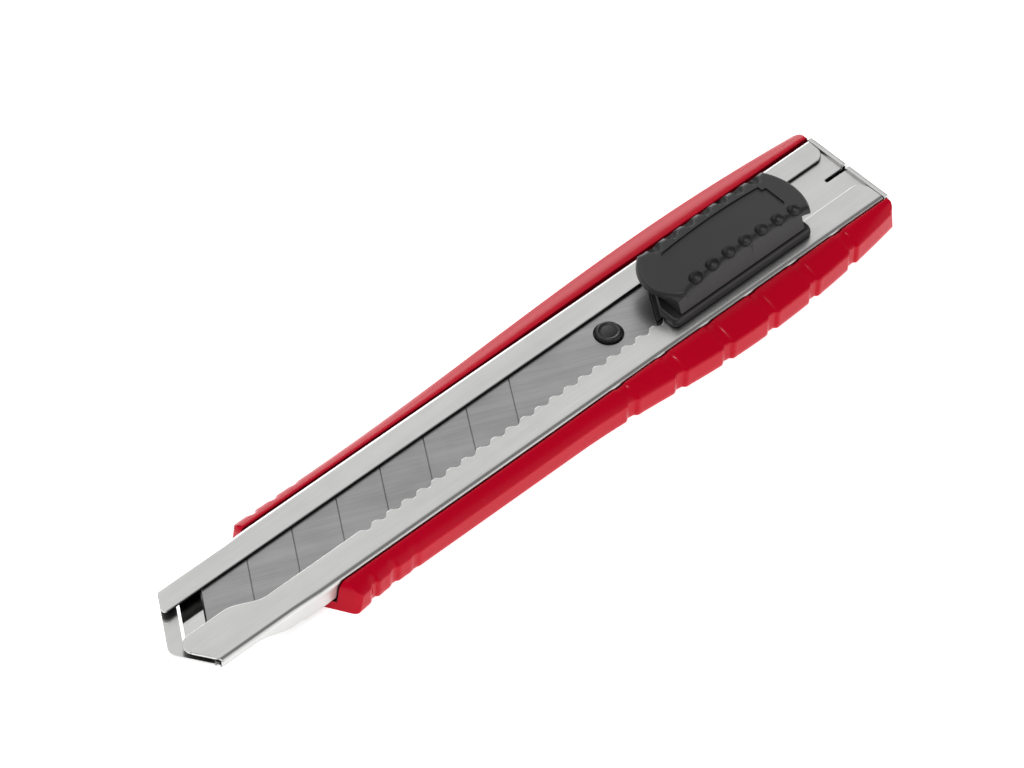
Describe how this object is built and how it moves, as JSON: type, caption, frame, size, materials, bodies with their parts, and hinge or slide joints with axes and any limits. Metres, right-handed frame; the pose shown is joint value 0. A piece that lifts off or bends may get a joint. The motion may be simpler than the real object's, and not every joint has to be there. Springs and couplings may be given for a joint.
{
  "type": "snap-off utility knife",
  "caption": "Slim metal-bodied utility knife with a retracted snap-off blade, an auto-lock thumb slider and a steel end clip.",
  "frame": {"origin": "middle of the knife's length and width, on the surface that it lies on", "axes": "+X from the blade tip to the end clip, +Y towards the plain flange and away from the cutting edge, +Z out through the thumb button"},
  "size_m": [0.1616, 0.0306, 0.0134],
  "materials": {
    "red_paint": "glossy red paint on die-cast metal",
    "stainless": "satin stainless sheet",
    "blade_steel": "ground carbon steel",
    "black_plastic": "moulded black plastic",
    "spring_steel": "spring strip",
    "rivet_steel": "plain steel"
  },
  "bodies": {
    "frame": {"handle_body": "red_paint", "blade_channel": "stainless", "front_rivet": "rivet_steel", "rear_rivet": "rivet_steel"},
    "slider": {"blade": "blade_steel", "blade_carrier": "black_plastic", "slider_base": "black_plastic", "lock_spring": "spring_steel"},
    "button": {"thumb_button": "black_plastic"},
    "clip": {"end_clip": "stainless"}
  },
  "joints": [
    {"name": "blade_slide", "type": "slide", "parent": "frame", "child": "slider", "axis": [-1, 0, 0], "range_m": [0, 0.07203], "deforming": ["lock_spring"]},
    {"name": "button_release", "type": "slide", "parent": "slider", "child": "button", "axis": [1, 0, 0], "range_m": [-0.0012, 0.0012], "stiffness_N_per_m": 400},
    {"name": "clip_pull", "type": "slide", "parent": "frame", "child": "clip", "axis": [1, 0, 0], "range_m": [0, 0.018]}
  ]
}
